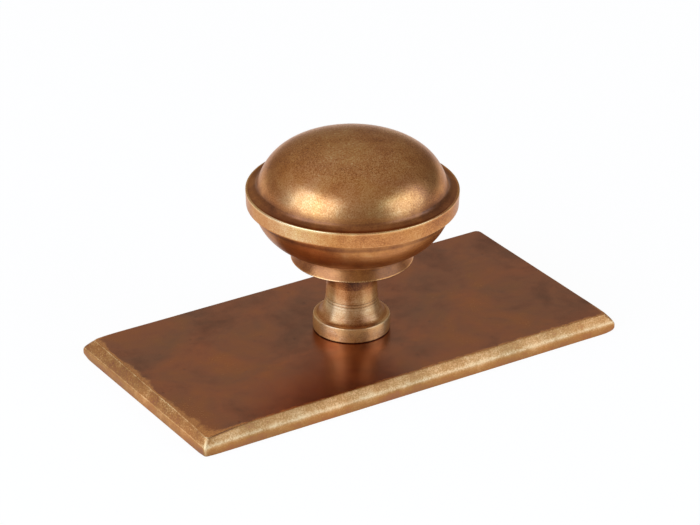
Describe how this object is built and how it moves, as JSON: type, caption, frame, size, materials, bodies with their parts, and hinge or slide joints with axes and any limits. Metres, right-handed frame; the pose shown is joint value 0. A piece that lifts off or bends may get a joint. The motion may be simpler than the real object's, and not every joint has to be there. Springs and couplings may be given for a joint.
{
  "type": "cabinet knob with backplate",
  "caption": "Round turned knob with a domed face on a slim flared neck, standing on a bevelled rectangular backplate.",
  "frame": {"origin": "middle of the backplate's back face, on the screw's axis", "axes": "+Z out from the door along the knob's axis, +X along the backplate's length, +Y across it"},
  "size_m": [0.076, 0.038, 0.0353],
  "materials": {
    "plate_brass": "dark patina, semi-gloss, worn bright at the bevel",
    "knob_brass": "aged, softly polished with patches of brown patina"
  },
  "bodies": {
    "root": {"backplate": "plate_brass", "knob": "knob_brass"}
  },
  "joints": []
}
